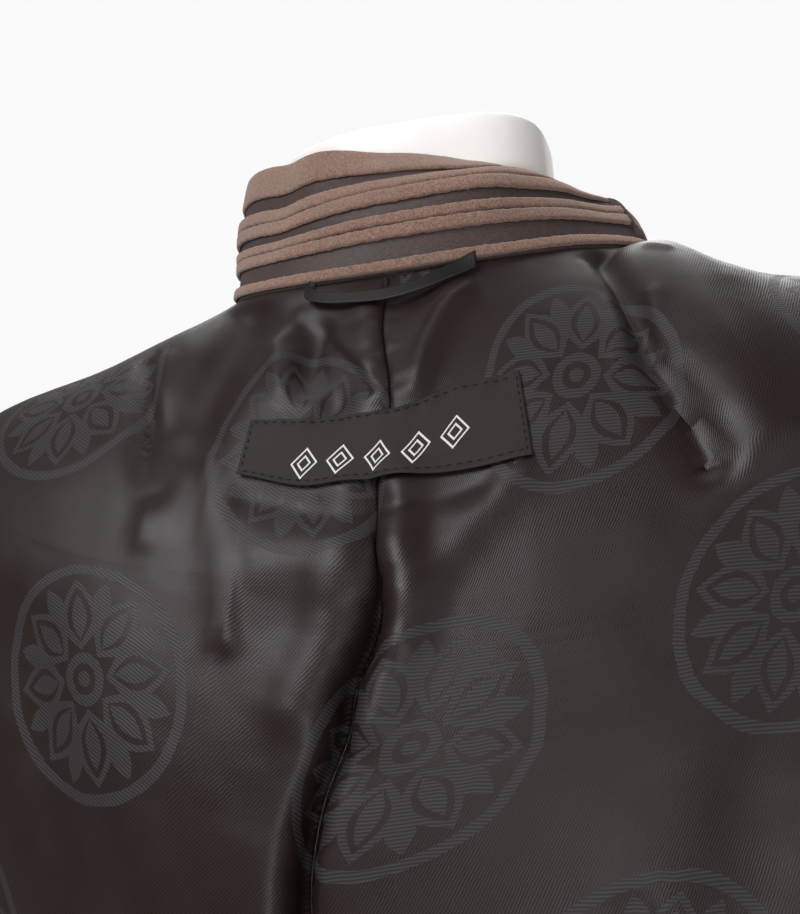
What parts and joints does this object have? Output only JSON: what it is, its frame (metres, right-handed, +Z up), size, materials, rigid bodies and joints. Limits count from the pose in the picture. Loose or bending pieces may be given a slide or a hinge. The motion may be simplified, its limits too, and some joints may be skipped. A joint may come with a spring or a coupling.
{
  "type": "pantsuit on a dress form",
  "caption": "Open jacket worn inside out with a banded collar, over plain trousers, on a limbless dress form with a pole and round base.",
  "frame": {"origin": "on the floor, at the middle of the object's box seen from above", "axes": "+Z up, the garment's front faces -Y, the wearer's left is +X"},
  "size_m": [0.552, 0.38, 1.5],
  "materials": {
    "lining": "satin twill with a tone-on-tone woven motif",
    "wool": "brown napped wool",
    "collar_satin": "dark satin",
    "ribbon": "black-brown grosgrain ribbon",
    "label_cloth": "bare dark woven label",
    "button": "polished",
    "form_cover": "smooth white",
    "form_metal": "satin pale grey"
  },
  "bodies": {
    "root": {"collar": "collar_satin", "collar_band_lower_a": "wool", "collar_band_lower_b": "wool", "collar_band_seam": "wool", "collar_band_top": "wool", "collar_band_upper_a": "wool", "collar_band_upper_b": "wool", "cuff_left": "wool", "cuff_right": "wool", "facing_left": "wool", "facing_right": "wool", "fly": "wool", "form_base": "form_metal", "form_body": "form_cover", "form_pole": "form_metal", "hanger_loop": "ribbon", "hem_turnup_left": "wool", "hem_turnup_right": "wool", "label": "label_cloth", "lining_back_left": "lining", "lining_back_right": "lining", "lining_front_left": "lining", "lining_front_right": "lining", "sleeve_under_left": "lining", "sleeve_under_right": "lining", "sleeve_upper_left": "lining", "sleeve_upper_right": "lining", "trouser_back_left": "wool", "trouser_back_right": "wool", "trouser_front_left": "wool", "trouser_front_right": "wool", "waist_button": "button", "waistband": "wool"}
  },
  "joints": []
}
